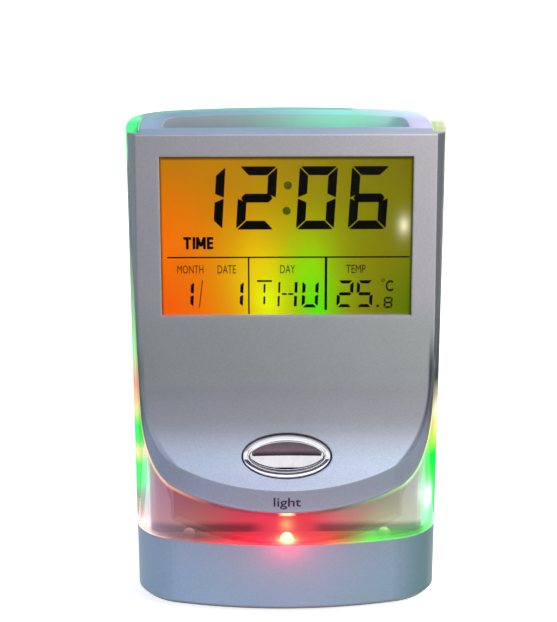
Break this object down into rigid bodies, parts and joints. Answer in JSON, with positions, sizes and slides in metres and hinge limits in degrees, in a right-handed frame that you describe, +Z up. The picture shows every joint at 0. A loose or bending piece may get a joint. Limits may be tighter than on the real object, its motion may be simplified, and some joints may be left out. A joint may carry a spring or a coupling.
{
  "type": "pen holder clock",
  "caption": "Upright oval pen cup with an LCD clock fascia that scoops forward to a chrome light button, in a clear glowing shell on a battery base.",
  "frame": {"origin": "centre of the box's footprint, on the table that the rubber feet stand on", "axes": "+Z up, -Y out of the fascia towards the user, +X to the user's right"},
  "size_m": [0.072, 0.0446, 0.111],
  "materials": {
    "silver_paint": "satin silver metallic paint on plastic",
    "cup_silver": "satin silver plastic",
    "grey_plastic": "fine spark texture",
    "clear_plastic": "clear, edge lit",
    "clear_lens": "clear gloss",
    "lcd_glass": "lit by colour LEDs behind it",
    "backlight": "diffusing, lit",
    "chrome_trim": "mirror",
    "red_led": "tinted clear, lit",
    "green_led": "tinted clear, lit",
    "circuit_board": "solder mask",
    "black_plastic": "matt",
    "ivory_plastic": "satin",
    "key_plastic": "satin",
    "zebra_rubber": "matt",
    "foot_rubber": "matt",
    "wire_jacket": "satin",
    "sensor_bead": "gloss",
    "spring_steel": "nickel plated",
    "cell_jacket": "plain printed jacket"
  },
  "bodies": {
    "body": {"base_shell": "silver_paint", "base_plate": "grey_plastic", "batteries": "cell_jacket", "battery_springs": "spring_steel", "battery_contacts": "spring_steel", "led_board": "circuit_board", "red_led": "red_led", "green_leds": "green_led", "clear_shell": "clear_plastic", "inner_cup": "cup_silver", "fascia": "silver_paint", "lcd_lens": "clear_lens", "lcd_panel": "lcd_glass", "backlight_panel": "backlight", "zebra_strip": "zebra_rubber", "main_board": "circuit_board", "clock_chip": "black_plastic", "quartz_crystal": "spring_steel", "temp_sensor": "sensor_bead", "lead_connector": "ivory_plastic", "lead_wires": "wire_jacket", "board_screws": "spring_steel", "button_bezel": "chrome_trim", "light_switch": "black_plastic", "switch_board": "circuit_board", "switch_leads": "wire_jacket", "key_switches": "black_plastic", "key_board": "circuit_board", "base_screws": "spring_steel", "rubber_feet": "foot_rubber"},
    "light_button": {"light_button": "chrome_trim", "switch_plunger": "black_plastic"},
    "mode_key": {"mode_key": "key_plastic"},
    "set_key": {"set_key": "key_plastic"},
    "battery_door": {"battery_door": "grey_plastic"}
  },
  "joints": [
    {"name": "light_button_press", "type": "slide", "parent": "body", "child": "light_button", "axis": [0, 0.882, -0.4712], "range_m": [0, 0.0005], "stiffness_N_per_m": 3000},
    {"name": "mode_key_press", "type": "slide", "parent": "body", "child": "mode_key", "axis": [0, 0, 1], "range_m": [0, 0.0004], "stiffness_N_per_m": 3000},
    {"name": "set_key_press", "type": "slide", "parent": "body", "child": "set_key", "axis": [0, 0, 1], "range_m": [0, 0.0004], "stiffness_N_per_m": 3000},
    {"name": "battery_door_slide", "type": "slide", "parent": "body", "child": "battery_door", "axis": [0, 1, 0], "range_m": [0, 0.036]}
  ]
}
